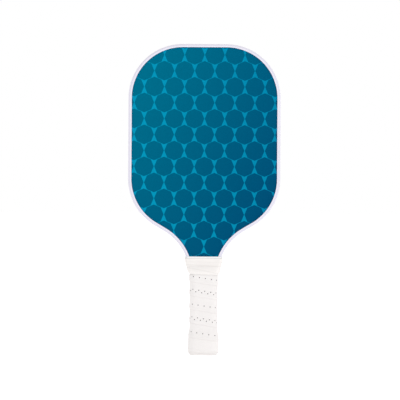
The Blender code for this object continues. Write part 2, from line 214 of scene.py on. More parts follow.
def octagon_loop(half_width, half_depth, chamfer, radius, arc_steps=6, edge_steps=8):
    """A rounded octagon from just past the front's middle, counterclockwise: points with their normals."""
    corners = []
    for sign_x, sign_y in ((1, -1), (1, 1), (-1, 1), (-1, -1)):
        side = Vector((sign_x * half_width, sign_y * (half_depth - chamfer)))
        end = Vector((sign_x * (half_width - chamfer), sign_y * half_depth))
        corners += [end, side] if sign_x != sign_y else [side, end]
    loop = []
    tangent_length = radius * math.tan(math.pi / 8)
    for i, corner in enumerate(corners):
        ahead = (corners[(i + 1) % 8] - corner).normalized()
        behind = (corner - corners[i - 1]).normalized()
        start = corner - behind * tangent_length
        normal = Vector((behind.y, -behind.x))
        center = start - normal * radius
        angle = math.atan2(normal.y, normal.x)
        for step in range(arc_steps + 1):
            turned = angle + math.pi / 4 * step / arc_steps
            out = Vector((math.cos(turned), math.sin(turned)))
            loop.append((center + out * radius, out))
        end = corner + ahead * tangent_length
        following = corners[(i + 1) % 8] - ahead * tangent_length
        out = Vector((ahead.y, -ahead.x))
        for step in range(1, edge_steps):
            loop.append((end.lerp(following, step / edge_steps), out))
    shift = edge_steps // 2 - 1
    return loop[-shift:] + loop[:-shift]


def even_loop(loop, count):
    """The loop's points and normals again at even steps along its length, and that length."""
    closed = loop + [loop[0]]
    lengths = [0.0]
    for (before, _), (after, _) in zip(closed, closed[1:]):
        lengths.append(lengths[-1] + (after - before).length)
    total = lengths[-1]
    even = []
    place = 0
    for i in range(count):
        wanted = total * i / count
        while lengths[place + 1] < wanted:
            place += 1
        share = (wanted - lengths[place]) / (lengths[place + 1] - lengths[place])
        point = closed[place][0].lerp(closed[place + 1][0], share)
        out = closed[place][1].lerp(closed[place + 1][1], share).normalized()
        even.append((point, out))
    return even, total


# ---------------------------------------------------------------- edge guard

# Steps along the rim's path and round its section
TOP_CORNER_STEPS = 48
LOWER_CORNER_STEPS = 36
THROAT_STEPS = 30
TOP_EDGE_STEPS = 14
SIDE_STEPS = 24
FLANK_STEPS = 4
SHOULDER_STEPS = 8
LIP_STEPS = 4


def arc(center_x, center_z, radius, start, end, steps):
    """Points of an arc in the XZ plane, each with the outward direction from its centre."""
    points = []
    for i in range(steps + 1):
        angle = start + (end - start) * i / steps
        out = Vector((math.cos(angle), math.sin(angle)))
        points.append((Vector((center_x, center_z)) + out * radius, out))
    return points


def rim_path():
    """The rim's outermost line with its outward normals, from the left of the throat over the head."""
    corner_x = HEAD_HALF_WIDTH - CORNER_RADIUS
    across = THROAT_CENTER_X - corner_x
    down = THROAT_CENTER_Z - LOWER_CORNER_Z
    touch = math.acos((CORNER_RADIUS + THROAT_RADIUS) / math.hypot(across, down))
    flank = math.atan2(down, across) + touch
    throat_end = math.pi - math.asin((GUARD_END_Z - THROAT_CENTER_Z) / THROAT_RADIUS)
    top = arc(corner_x, HEAD_TOP_Z - CORNER_RADIUS, CORNER_RADIUS, math.pi / 2, 0, TOP_CORNER_STEPS)
    low = arc(corner_x, LOWER_CORNER_Z, CORNER_RADIUS, 0, flank, LOWER_CORNER_STEPS)
    throat = arc(
        THROAT_CENTER_X, THROAT_CENTER_Z, THROAT_RADIUS, flank + math.pi, throat_end, THROAT_STEPS
    )
    throat = [(point, -out) for point, out in throat]
    right = top + straight_steps(top[-1], low[0], SIDE_STEPS) + low
    right += straight_steps(low[-1], throat[0], FLANK_STEPS) + throat
    left = [(Vector((-p.x, p.y)), Vector((-out.x, out.y))) for p, out in reversed(right)]
    return left + straight_steps(left[-1], right[0], TOP_EDGE_STEPS) + right


def straight_steps(start, end, steps):
    """Points between two path points that share a normal, without the two themselves."""
    return [(start[0].lerp(end[0], i / steps), start[1]) for i in range(1, steps)]


def guard_section():
    """The U section as (inward, y) points, round the outside and back through the channel."""
    half = [(0.0, 0.0), (0.0, (GUARD_HALF - GUARD_SHOULDER_DEEP) * 0.6)]
    for i in range(SHOULDER_STEPS + 1):
        angle = math.pi / 2 * i / SHOULDER_STEPS
        inward = GUARD_SHOULDER_ACROSS * (1 - math.cos(angle))
        half.append((inward, GUARD_HALF - GUARD_SHOULDER_DEEP * (1 - math.sin(angle))))
    half.append(((GUARD_SHOULDER_ACROSS + GUARD_LIP) / 2, GUARD_HALF))
    for i in range(LIP_STEPS + 1):
        angle = math.pi / 2 * i / LIP_STEPS
        inward = GUARD_LIP - GUARD_LIP_ROUND * (1 - math.sin(angle))
        half.append((inward, GUARD_HALF - GUARD_LIP_ROUND * (1 - math.cos(angle))))
    half += [(GUARD_LIP, GUARD_CHANNEL_HALF), (GUARD_WALL, GUARD_CHANNEL_HALF)]
    return half + [(inward, -y) for inward, y in reversed(half[1:])]


def edge_guard(material):
    section = guard_section()
    count = len(section)
    points, facts = [], []
    travelled = 0.0
    before = None
    for place, out in rim_path():
        travelled += (place - before).length if before else 0.0
        before = place
        for inward, y in section:
            spot = place - out * inward
            points.append((spot.x, y, spot.y))
            facts.append((travelled, inward, y))
    rows = len(points) // count
    faces = ring_faces(rows, count)
    faces.append(tuple(range(count))[::-1])
    faces.append(tuple(range((rows - 1) * count, rows * count)))
    piece = mesh_piece("guard_channel", points, faces, material, sharp_degrees=50)
    keep_vector(piece, "rim", facts)
    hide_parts("edge_guard")
    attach(piece, "root")


# ---------------------------------------------------------------- grip


def flare(z):
    """How far the wrap stands out over the butt cap, and a little towards the neck, at a height."""
    over_cap = FLARE_OUT * (1 - ease(z, FLARE_BOTTOM_Z, FLARE_TOP_Z))
    return over_cap + NECK_SWELL * ease(z, NECK_SWELL_BOTTOM_Z, GRIP_TOP_Z)


def strip_top(across):
    """Height of the strip's outer surface over the plain grip, across its width from the lower edge."""
    lift = OVERLAP_LIFT * (1 - ease(across, OVERLAP_LIFT_FULL, OVERLAP_LIFT_END))
    rounding = EDGE_DROP * (1 - clamp(across / EDGE_ROUND)) ** 2
    taper = TOP_TAPER * ease(across, STRIP_WIDTH - TOP_TAPER_WIDTH, STRIP_WIDTH)
    return lift - rounding - taper


def strip_under(across):
    """Height of the strip's inner surface, which climbs over the turn below it."""
    over_turn = strip_top(across + STRIP_PITCH) + TURN_CLEARANCE
    overlap = STRIP_WIDTH - STRIP_PITCH
    return over_turn + (-STRIP_THICKNESS - over_turn) * ease(across, overlap, overlap + OVERLAP_CLIMB)


def strip_rows():
    """Places across the strip: close at its two edges, and even rows of cells where the holes are."""
    low_edge = [0.0, 0.15 * MM, 0.35 * MM, 0.6 * MM, 0.9 * MM, 1.5 * MM, 2.3 * MM, 3.2 * MM, 4.2 * MM]
    holes = [HOLE_ROW + HOLE_STAGGER * step for step in (-1.5, -0.5, 0.5, 1.5)]
    plain = [holes[-1] + (STRIP_WIDTH - TOP_TAPER_WIDTH - holes[-1]) * i / 5 for i in range(1, 6)]
    top_edge = [STRIP_WIDTH - TOP_TAPER_WIDTH * (1 - i / 6) for i in range(1, 7)]
    return low_edge + holes + plain + top_edge


class Strip:
    """The wrap strip wound round the grip. A turn is counted from where its lower edge leaves the rim."""

    def __init__(self):
        half_depth = GRIP_HALF_WIDTH - GRIP_DEPTH_LESS
        section = octagon_loop(
            GRIP_HALF_WIDTH, half_depth, GRIP_CHAMFER, GRIP_CORNER_RADIUS, arc_steps=10, edge_steps=12
        )
        self.samples, self.length = even_loop(section, STRIP_SAMPLES)
        self.front_turn = (SEAM_AT_FRONT_Z - GRIP_BOTTOM_Z) / STRIP_PITCH
        self.points = []
        self.facts = []
        self.faces = []

    def height(self, turn, across):
        sway = STRIP_SWAY * noise.noise(Vector((turn * STRIP_SWAYS_PER_TURN, 0.0, 4.0)))
        return GRIP_BOTTOM_Z + STRIP_PITCH * turn + across + sway

    def place(self, turn, across, out):
        """The 3D point at a turn and a place across the strip, out from the plain grip's surface."""
        z = clamp(self.height(turn, across), GRIP_BOTTOM_Z, GRIP_TOP_Z)
        share = (self.front_turn - turn) % 1.0 * len(self.samples)
        index = int(share)
        point, normal = self.samples[index]
        following, following_normal = self.samples[(index + 1) % len(self.samples)]
        point = point.lerp(following, share - index)
        normal = normal.lerp(following_normal, share - index)
        swell = STRIP_SWELL * wander(point.x, point.y, z, STRIP_SWELL_SCALE)
        pressed = TAPE_PRESS * ease(z, TAPE_PRESS_BOTTOM_Z, TAPE_PRESS_TOP_Z)
        reach = out + flare(z) + swell - pressed
        return Vector((point.x + normal.x * reach, point.y + normal.y * reach, z))

    def add(self, turn, across, out, depth=0.0):
        self.points.append(self.place(turn, across, out))
        self.facts.append((across, depth, 0.0))
        return len(self.points) - 1

    def hole(self, corners, turn, across):
        """A cell with a round blind hole: corners counterclockwise from the lower start."""
        slope = STRIP_PITCH / self.length
        rings = []
        for radius, depth in HOLE_PROFILE:
            ring = []
            for i in range(HOLE_SIDES):
                angle = 2 * math.pi * i / HOLE_SIDES
                along = HOLE_RADIUS * radius * math.cos(angle)
                rise = HOLE_RADIUS * radius * math.sin(angle)
                spot_across = across + rise - slope * along
                out = strip_top(spot_across) - depth
                ring.append(self.add(turn + along / self.length, spot_across, out, depth))
            rings.append(ring)
        quarter = HOLE_SIDES // 4
        outer = rings[0]
        for k in range(4):
            middle = (k * quarter - quarter) % HOLE_SIDES
            self.faces.append((corners[k], corners[(k + 1) % 4], outer[middle]))
            for step in range(quarter):
                a = outer[(middle + step) % HOLE_SIDES]
                b = outer[(middle + step + 1) % HOLE_SIDES]
                self.faces.append((corners[(k + 1) % 4], b, a))
        for upper, lower in zip(rings, rings[1:]):
            for i in range(HOLE_SIDES):
                j = (i + 1) % HOLE_SIDES
                self.faces.append((upper[i], upper[j], lower[j], lower[i]))
        self.faces.append(tuple(rings[-1]))


def hole_rows(hole_number):
    """Which rows a hole of the strip is on: single holes on one turn, two staggered rows on the next."""
    turn_number = math.floor(hole_number / HOLES_PER_TURN)
    return (0,) if turn_number % 2 else (-1, 1)


def grip_wrap(material):
    """The cushioned strip, wound upwards with each turn lapping over the one below."""
    strip = Strip()
    rows = strip_rows()
    first_turn = -STRIP_WIDTH / STRIP_PITCH
    last_turn = (GRIP_TOP_Z - GRIP_BOTTOM_Z) / STRIP_PITCH
    per_turn = HOLES_PER_TURN * COLUMNS_PER_HOLE
    first = math.floor(first_turn * per_turn)
    last = math.ceil(last_turn * per_turn)
    hole_shift = round((strip.front_turn + 0.5) * per_turn) + HOLE_SHIFT_COLUMNS
    hole_cells = set()
    for column in range(first, last):
        number, cell = divmod(column - hole_shift, COLUMNS_PER_HOLE)
        has_holes = HOLES_START_TURN < column / per_turn < last_turn - HOLES_END_TURNS
        for row in hole_rows(number):
            # A lower row's holes sit midway between those of the row above
            wanted = 1 if row >= 0 else 3
            if cell == wanted and has_holes:
                hole_cells.add((column, rows.index(HOLE_ROW + HOLE_STAGGER * (row - 0.5))))

    outer, inner = {}, {}
    for column in range(first, last + 1):
        turn = column / per_turn
        for j, across in enumerate(rows):
            outer[column, j] = strip.add(turn, across, strip_top(across))
            inner[column, j] = strip.add(turn, across, strip_under(across))

    def shown(column, j):
        """Whether a cell of the strip reaches between the grip's two ends."""
        if not (first <= column < last and 0 <= j < len(rows) - 1):
            return False
        turns = (column / per_turn, (column + 1) / per_turn)
        low = min(strip.height(turn, rows[j]) for turn in turns)
        high = max(strip.height(turn, rows[j + 1]) for turn in turns)
        return high > GRIP_BOTTOM_Z + TRIM_MARGIN and low < GRIP_TOP_Z - TRIM_MARGIN

    for column in range(first, last):
        for j in range(len(rows) - 1):
            if not shown(column, j):
                continue
            cell = [(column, j), (column + 1, j), (column + 1, j + 1), (column, j + 1)]
            corners = [outer[key] for key in cell]
            if (column, j) in hole_cells:
                middle = (rows[j] + rows[j + 1]) / 2
                strip.hole(corners, (column + 0.5) / per_turn, middle)
            else:
                strip.faces.append(tuple(corners))
            strip.faces.append(tuple(inner[key] for key in reversed(cell)))
            neighbours = ((column, j - 1), (column + 1, j), (column, j + 1), (column - 1, j))
            for k, neighbour in enumerate(neighbours):
                if not shown(*neighbour):
                    a, b = cell[k], cell[(k + 1) % 4]
                    strip.faces.append((outer[b], outer[a], inner[a], inner[b]))
    used = sorted({index for face in strip.faces for index in face})
    number = {old: new for new, old in enumerate(used)}
    faces = [tuple(number[index] for index in face) for face in strip.faces]
    piece = mesh_piece("grip_strip", [strip.points[i] for i in used], faces, material, sharp_degrees=40)
    keep_vector(piece, "strip", [strip.facts[i] for i in used])
    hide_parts("grip_wrap")
    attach(piece, "root")


# ---------------------------------------------------------------- neck tapes

UPPER_TAPE_RISE = 0.9 * MM
UPPER_TAPE_LOW_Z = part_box("upper_finishing_tape")[0].z
UPPER_TAPE_TOP_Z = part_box("upper_finishing_tape")[1].z + UPPER_TAPE_RISE
LOWER_TAPE_MIDDLE_Z = sum(corner.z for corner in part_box("lower_finishing_tape")) / 2
TAPE_ROWS = 44
TAPE_CORNER_RADIUS = 2.6 * MM
TAPE_EDGE_ROUND = 0.12 * MM
CREASE_BROAD = 0.09 * MM
CREASE_FINE = 0.03 * MM
BASE_TAPE_BEAD = 0.12 * MM


def level_between(levels, z):
    """The section sizes at a height, between listed levels of (z, half width, half depth, chamfer)."""
    if z <= levels[0][0]:
        return levels[0][1:]
    for low, high in zip(levels, levels[1:]):
        if z <= high[0]:
            share = (z - low[0]) / (high[0] - low[0])
            return tuple(a + (b - a) * share for a, b in zip(low[1:], high[1:]))
    return levels[-1][1:]


def tape_band(name, node, material, levels, thickness, relief, edge_tilt=0.0):
    """A wound band: its outer surface follows the levels and stands out by the relief at (x, y, z)."""
    low_z, high_z = levels[0][0], levels[-1][0]
    points, facts = [], []
    heights = [low_z + (high_z - low_z) * i / TAPE_ROWS for i in range(TAPE_ROWS + 1)]
    count = 0
    for layer in ("out", "in"):
        for z in heights if layer == "out" else reversed(heights):
            half_width, half_depth, chamfer = level_between(levels, z)
            loop = octagon_loop(half_width, half_depth, chamfer, TAPE_CORNER_RADIUS)
            count = len(loop)
            near_edge = min(z - low_z, high_z - z)
            for spot, out in loop:
                tilt = edge_tilt * spot.x * (1 - ease(z, low_z, high_z))
                reach, shade = relief(spot.x, spot.y, z) if layer == "out" else (-thickness, 0.0)
                if layer == "out" and near_edge < TAPE_EDGE_ROUND:
                    reach -= 0.5 * thickness * (1 - near_edge / TAPE_EDGE_ROUND)
                points.append((spot.x + out.x * reach, spot.y + out.y * reach, z + tilt))
                facts.append((shade, near_edge, 0.0))
    faces = ring_faces(2 * len(heights), count, closed_rows=True)
    piece = mesh_piece(name, points, faces, material)
    keep_vector(piece, "tape", facts)
    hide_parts(node)
    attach(piece, "root")


def creases(x, y, z):
    """Fine puckers of stretched tape, long round the neck and short up it."""
    slanted = z + 0.12 * x
    broad = noise.noise(Vector((x * 40, y * 40, slanted * 260)))
    fine = noise.noise(Vector((x * 70, y * 70, slanted * 700)))
    return CREASE_BROAD * broad + CREASE_FINE * fine


def lap(z, lap_z, step, softness):
    """A turn's edge at lap_z: the height it adds above the edge, and how much of its shade is here."""
    height = step * ease(z, lap_z - softness, lap_z + softness)
    return height, math.exp(-(((z - lap_z + softness) / (2 * softness)) ** 2))


def upper_relief(x, y, z):
    """Two turns' edges, a little off level, and a painted shadow line along the top edge."""
    first_lap_z = UPPER_TAPE_LOW_Z + 1.3 * MM - 0.06 * x + (0.0 if y < 0 else 0.9 * MM)
    second_lap_z = UPPER_TAPE_LOW_Z + 6.0 * MM - 0.02 * x
    first, first_shade = lap(z, first_lap_z, 0.16 * MM, 0.22 * MM)
    second, second_shade = lap(z, second_lap_z, 0.08 * MM, 0.3 * MM)
    # Painted shadow line just below the top edge
    painted_top_shadow = 1.7 * ease(z, UPPER_TAPE_TOP_Z - 0.8 * MM, UPPER_TAPE_TOP_Z - 0.2 * MM)
    shade = max(first_shade, 0.4 * second_shade, painted_top_shadow)
    return first + second - 0.24 * MM + creases(x, y, z), shade


def lower_relief(x, y, z):
    """A steeper edge, where the tape's last turn runs down over the grip's top."""
    lap_z = LOWER_TAPE_MIDDLE_Z + (0.2 * MM if y < 0 else -0.8 * MM) - 0.18 * x
    height, shade = lap(z, lap_z, 0.16 * MM, 0.25 * MM)
    return height + creases(x, y, z), shade


def base_relief(x, y, z):
    """A soft bead."""
    low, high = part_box("neck_base_tape")
    share = clamp((z - low.z) / (high.z - low.z))
    return BASE_TAPE_BEAD * math.sin(math.pi * share) + 0.3 * creases(x, y, z), 0.0


def neck_tapes(tape_material, base_material):
    """The upper tape laps over the lower one, which laps over the wrap's end. The base band shows above.

    Each level is (height, half width, half depth, chamfer).
    """
    low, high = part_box("neck_base_tape")
    levels = [
        (low.z, high.x - 2.4 * MM, high.y, 2.5 * MM),
        (high.z, high.x, high.y, 2.5 * MM),
    ]
    tape_band(
        "neck_base_band", "neck_base_tape", base_material, levels, 0.35 * MM, base_relief
    )

    low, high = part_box("upper_finishing_tape")
    depth = GUARD_HALF + 1.35 * MM
    levels = [
        (low.z - 0.9 * MM, high.x - 0.8 * MM, high.y + 1.3 * MM, 4.2 * MM),
        (low.z + 1.6 * MM, high.x - 0.3 * MM, high.y + 0.3 * MM, 3.8 * MM),
        (low.z + 5.0 * MM, high.x + 0.5 * MM, high.y - 0.7 * MM, 3.2 * MM),
        (UPPER_TAPE_TOP_Z, high.x + 1.1 * MM, depth, 2.6 * MM),
    ]
    node = "upper_finishing_tape"
    tape_band("upper_tape_band", node, tape_material, levels, 0.5 * MM, upper_relief)

    low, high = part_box("lower_finishing_tape")
    grip_half_depth = GRIP_HALF_WIDTH - GRIP_DEPTH_LESS
    levels = [
        (low.z, GRIP_HALF_WIDTH + 0.8 * MM, grip_half_depth + 0.7 * MM, 5.6 * MM),
        (low.z + 0.8 * MM, GRIP_HALF_WIDTH + 1.3 * MM, grip_half_depth + 0.85 * MM, 5.6 * MM),
        (low.z + 3.9 * MM, high.x, grip_half_depth + 0.8 * MM, 5.4 * MM),
        (low.z + 7.2 * MM, high.x + 0.9 * MM, high.y - 1.7 * MM, 4.8 * MM),
        (high.z, high.x + 1.2 * MM, high.y - 3.1 * MM, 4.2 * MM),
    ]
    node = "lower_finishing_tape"
    tape_band(
        "lower_tape_band", node, tape_material, levels, 0.35 * MM, lower_relief, -0.03
    )


# ---------------------------------------------------------------- butt


def cap_loop(inward):
    """The cap's rounded octagon, moved in from its rim."""
    half_width = CAP_RIM_HALF_WIDTH - inward
    chamfer = GRIP_CHAMFER + CAP_CHAMFER_MORE - inward * (2 - math.sqrt(2))
    radius = max(CAP_LEAST_RADIUS, GRIP_CORNER_RADIUS - inward)
    return octagon_loop(half_width, half_width - CAP_DEPTH_LESS, chamfer, radius)


def butt_cap(material):
    """A moulded cup with a rounded rim, a grooved foot and an oval recess for the badge."""
    badge_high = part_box("butt_badge")[1]
    recess_x = badge_high.x + CAP_GAP
    recess_y = badge_high.y + CAP_GAP
    rings = []

    def octagon_level(z, inward):
        rings.append([(spot.x, spot.y, z) for spot, _ in cap_loop(inward)])

    def oval_level(z, grow):
        ring = []
        for spot, _ in cap_loop(0.0):
            angle = math.atan2(spot.y / recess_y, spot.x / recess_x)
            ring.append(((recess_x + grow) * math.cos(angle), (recess_y + grow) * math.sin(angle), z))
        rings.append(ring)

    oval_level(RECESS_TOP_Z, -recess_y * 0.85)
    oval_level(RECESS_TOP_Z, 0.0)
    for z, grow in RECESS_MOUTH:
        oval_level(z, grow)
    for z, inward in FOOT_GROOVE:
        octagon_level(z, inward)
    octagon_level(0.0, CAP_EDGE_ROUND_IN + 0.2 * MM)
    for i in range(CAP_EDGE_STEPS + 1):
        angle = math.pi / 2 * i / CAP_EDGE_STEPS
        octagon_level(CAP_EDGE_ROUND_UP * (1 - math.cos(angle)), CAP_EDGE_ROUND_IN * (1 - math.sin(angle)))
    octagon_level(CAP_RIM_TOP_Z - CAP_RIM_BEVEL, 0.0)
    octagon_level(CAP_RIM_TOP_Z, CAP_RIM_BEVEL)

    skirt_inward = CAP_RIM_HALF_WIDTH - (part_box("grip_wrap")[1].x - STRIP_THICKNESS - SKIRT_GAP)
    octagon_level(CAP_RIM_TOP_Z, skirt_inward)
    skirt_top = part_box("butt_cap")[1].z
    for i in range(1, SKIRT_STEPS + 1):
        z = CAP_RIM_TOP_Z + (skirt_top - CAP_RIM_TOP_Z) * i / SKIRT_STEPS
        octagon_level(z, skirt_inward + FLARE_OUT - flare(z))
    cavity = CAP_RIM_HALF_WIDTH - (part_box("front_handle_block")[1].x + CAP_GAP)
    octagon_level(skirt_top, cavity)
    octagon_level(CAP_FLOOR_Z, cavity)
    count = len(rings[0])
    points = [point for ring in rings for point in ring]
    faces = ring_faces(len(rings), count)
    faces.append(tuple(range(count)))
    faces.append(tuple(range(len(points) - count, len(points))))
    piece = mesh_piece("butt_cap_cup", points, faces, material)
    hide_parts("butt_cap")
    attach(piece, "root")


def butt_badge(material):
    """A blank oval plug with a raised border and one fine groove."""
    low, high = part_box("butt_badge")
    # Each level is (share of the outline, height over the border in millimetres)
    profile = [(0.02, 0.28), (0.3, 0.26), (0.5, 0.24), (0.52, 0.34), (0.56, 0.34), (0.58, 0.24)]
    profile += [(0.8, 0.22), (0.82, 0.06), (0.85, 0.0), (0.93, 0.0), (0.98, 0.04), (1.0, 0.16), (1.0, 0.8)]
    profile.append((0.02, 0.8))
    count = 72
    points = []
    for share, depth in profile:
        for i in range(count):
            angle = 2 * math.pi * i / count
            across = high.x * share * math.cos(angle)
            along = high.y * share * math.sin(angle)
            points.append((across, along, low.z + depth * MM))
    faces = ring_faces(len(profile), count)
    faces.append(tuple(range(count)))
    faces.append(tuple(range(len(points) - count, len(points))))
    piece = mesh_piece("butt_badge_plug", points, faces, material, sharp_degrees=30)
    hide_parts("butt_badge")
    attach(piece, "root")


# ---------------------------------------------------------------- materials


class Look:
    """One procedural material: a Principled shader and short ways to add nodes to it."""

    def __init__(self, name, roughness, **sockets):
        self.material = bpy.data.materials.new(name)
        self.material.use_nodes = True
        self.tree = self.material.node_tree
        self.shader = self.tree.nodes["Principled BSDF"]
        self.shader.inputs["Roughness"].default_value = roughness
        for socket, value in sockets.items():
            self.shader.inputs[socket.replace("_", " ")].default_value = value
        self.height = None

    def link(self, value, socket):
        if isinstance(value, bpy.types.NodeSocket):
            self.tree.links.new(value, socket)
        else:
            socket.default_value = value

    def place(self):
        return self.tree.nodes.new("ShaderNodeTexCoord").outputs["Object"]

    def kept(self, name):
        node = self.tree.nodes.new("ShaderNodeAttribute")
        node.attribute_name = name
        return node.outputs["Vector"]

    def parts(self, vector):
        node = self.tree.nodes.new("ShaderNodeSeparateXYZ")
        self.link(vector, node.inputs[0])
        return node.outputs

    def stretched(self, vector, x, y, z):
        node = self.tree.nodes.new("ShaderNodeVectorMath")
        node.operation = "MULTIPLY"
        self.link(vector, node.inputs[0])
        node.inputs[1].default_value = (x, y, z)
        return node.outputs[0]

    def math(self, operation, *values):
        node = self.tree.nodes.new("ShaderNodeMath")
        node.operation = operation
        for value, socket in zip(values, node.inputs):
            self.link(value, socket)
        return node.outputs[0]

    def noise(self, vector, scale, detail=3.0, rough=0.55):
        node = self.tree.nodes.new("ShaderNodeTexNoise")
        self.link(vector, node.inputs["Vector"])
        node.inputs["Scale"].default_value = scale
        node.inputs["Detail"].default_value = detail
        node.inputs["Roughness"].default_value = rough
        return node.outputs["Fac"]

    def cells(self, vector, scale):
        node = self.tree.nodes.new("ShaderNodeTexVoronoi")
        node.feature = "SMOOTH_F1"
        self.link(vector, node.inputs["Vector"])
        node.inputs["Scale"].default_value = scale
        return node.outputs["Distance"]

    def fitted(self, value, low, high, new_low=0.0, new_high=1.0, kind="SMOOTHSTEP"):
        node = self.tree.nodes.new("ShaderNodeMapRange")
        node.interpolation_type = kind
        self.link(value, node.inputs["Value"])
        node.inputs["From Min"].default_value = low
        node.inputs["From Max"].default_value = high
        node.inputs["To Min"].default_value = new_low
        node.inputs["To Max"].default_value = new_high
        return node.outputs["Result"]

    def mixed(self, share, first, second):
        node = self.tree.nodes.new("ShaderNodeMix")
        node.data_type = "RGBA"
        self.link(share, node.inputs[0])
        self.link(first, node.inputs[6])
        self.link(second, node.inputs[7])
        return node.outputs[2]

    def bump(self, height, distance):
        """Adds a layer of relief, whose height of 1 stands for distance in metres."""
        node = self.tree.nodes.new("ShaderNodeBump")
        node.inputs["Distance"].default_value = distance
        self.link(height, node.inputs["Height"])
        if self.height:
            self.link(self.height, node.inputs["Normal"])
        self.height = node.outputs["Normal"]
        self.link(self.height, self.shader.inputs["Normal"])

    def color(self, value):
        self.link(value, self.shader.inputs["Base Color"])

    def roughness(self, value):
        self.link(value, self.shader.inputs["Roughness"])


# Print: octagons with a corner at each side, on rows that shift by half a step
OCTAGON_RADIUS = 12.83 * MM
OCTAGON_STEP = 26.29 * MM
OCTAGON_ROW = 20.88 * MM
OCTAGON_ROW_Z = 224.9 * MM
CLOTH_PITCH = 1.1 * MM


def octagon_gap(look, x, z, shift_x, shift_z):
    """Distance outside the nearest octagon of one family of rows, and below 0 inside it."""
    steps_x = look.math("DIVIDE", look.math("SUBTRACT", x, shift_x), OCTAGON_STEP)
    steps_z = look.math("DIVIDE", look.math("SUBTRACT", z, shift_z), 2 * OCTAGON_ROW)
    near_x = look.math("ABSOLUTE", look.math("SUBTRACT", steps_x, look.math("ROUND", steps_x)))
    near_z = look.math("ABSOLUTE", look.math("SUBTRACT", steps_z, look.math("ROUND", steps_z)))
    across = look.math("MULTIPLY", near_x, OCTAGON_STEP)
    up = look.math("MULTIPLY", near_z, 2 * OCTAGON_ROW)
    steep, flat = math.cos(math.pi / 8), math.sin(math.pi / 8)
    side = look.math("MULTIPLY_ADD", across, steep, look.math("MULTIPLY", up, flat))
    top = look.math("MULTIPLY_ADD", across, flat, look.math("MULTIPLY", up, steep))
    return look.math("SUBTRACT", look.math("MAXIMUM", side, top), OCTAGON_RADIUS * steep)


def printed_face(name, left):
    """The print on a glass-fibre sheet; left is 1 or -1, the way to the print's left edge along X."""
    look = Look(name, 0.42, Specular_IOR_Level=0.3, Specular_Tint=srgb(0, 110, 150))
    place = look.place()
    x, _, z = look.parts(place)
    first = octagon_gap(look, x, z, OCTAGON_STEP / 2, OCTAGON_ROW_Z)
    second = octagon_gap(look, x, z, 0.0, OCTAGON_ROW_Z + OCTAGON_ROW)
    ground = look.fitted(look.math("MINIMUM", first, second), -0.05 * MM, 0.12 * MM)

    toward_left = look.math("MULTIPLY", x, float(left))
    diagonal = look.math("MULTIPLY_ADD", z, 0.6, toward_left)
    fade = look.fitted(diagonal, 10 * MM, 320 * MM, kind="LINEAR")
    dark = look.mixed(fade, srgb(0, 72, 112), srgb(0, 111, 139))
    sideways = look.fitted(toward_left, -95 * MM, 95 * MM, kind="LINEAR")
    light = look.mixed(sideways, srgb(2, 134, 172), srgb(4, 151, 187))
    mottle = look.fitted(look.noise(place, 900.0, 2.0), 0.3, 0.7, 0.0, 0.10)
    print_color = look.mixed(ground, dark, light)
    look.color(look.mixed(mottle, print_color, srgb(0, 60, 92)))

    cloth_x = look.math("SINE", look.math("MULTIPLY", x, 2 * math.pi / CLOTH_PITCH))
    cloth_z = look.math("SINE", look.math("MULTIPLY", z, 2 * math.pi / CLOTH_PITCH))
    look.bump(look.math("MULTIPLY", cloth_x, cloth_z), 0.004 * MM)
    look.bump(look.noise(place, 2600.0, 3.0), 0.012 * MM)
    look.roughness(look.fitted(look.noise(place, 34.0, 4.0), 0.3, 0.7, 0.36, 0.48))
    return look.material


def guard_plastic():
    look = Look("guard_plastic", 0.38, Specular_IOR_Level=0.4)
    place = look.place()
    rim = look.kept("rim")
    _, inward, _ = look.parts(rim)
    clean = look.mixed(look.noise(place, 60.0, 4.0), srgb(222, 220, 233), srgb(229, 226, 238))
    # Painted highlight: lighter towards the lip's inner edge and along the outer rim
    at_lip = look.fitted(inward, GUARD_LIP - 1.9 * MM, GUARD_LIP - 0.8 * MM)
    scuff = look.fitted(look.noise(place, 240.0, 5.0, 0.7), 0.62, 0.78)
    worn = look.mixed(look.math("MULTIPLY", scuff, 0.35), clean, srgb(196, 193, 204))
    at_rim = look.fitted(inward, 0.2 * MM, 1.6 * MM, 1.0, 0.0)
    painted_edge_highlight = look.math("MULTIPLY", look.math("MAXIMUM", at_lip, at_rim), 0.8)
    look.color(look.mixed(painted_edge_highlight, worn, srgb(242, 236, 249)))
    draw_lines = look.noise(look.stretched(rim, 12.0, 2600.0, 2600.0), 1.0, 3.0)
    look.bump(draw_lines, 0.02 * MM)
    look.bump(look.noise(place, 1500.0, 2.0), 0.01 * MM)
    look.roughness(look.fitted(look.noise(place, 90.0, 4.0), 0.3, 0.7, 0.3, 0.46))
    return look.material


def cushion_wrap():
    look = Look("cushion_wrap", 0.62, Specular_IOR_Level=0.25)
    place = look.place()
    across, depth, _ = look.parts(look.kept("strip"))
    base = look.mixed(look.noise(place, 45.0, 4.0), srgb(241, 237, 235), srgb(249, 246, 245))
    grain = look.cells(place, 1500.0)
    pores = look.fitted(grain, 0.15, 0.6, 0.0, 0.16)
    base = look.mixed(pores, base, srgb(226, 220, 217))
    # Painted shade at each seam: darker on a turn's lower edge and on the strip just under the next turn's
    # edge
    painted_edge_shade = look.fitted(across, 0.0, 0.8 * MM, 0.12, 0.0)
    painted_shade_under_lap = look.fitted(across, STRIP_PITCH - 1.3 * MM, STRIP_PITCH - 0.1 * MM, 0.0, 0.17)
    base = look.mixed(look.math("MAXIMUM", painted_edge_shade, painted_shade_under_lap), base, srgb(212, 206, 203))
    # Painted shade inside the holes, darker with depth down to a dark grey
    painted_hole_shade = look.fitted(depth, 0.03 * MM, 0.4 * MM, 0.0, 0.95)
    look.color(look.mixed(painted_hole_shade, base, srgb(72, 70, 70)))
    look.bump(grain, 0.05 * MM)
    look.bump(look.noise(place, 700.0, 4.0), 0.05 * MM)
    look.roughness(look.fitted(look.noise(place, 160.0, 4.0), 0.3, 0.7, 0.55, 0.72))
    return look.material


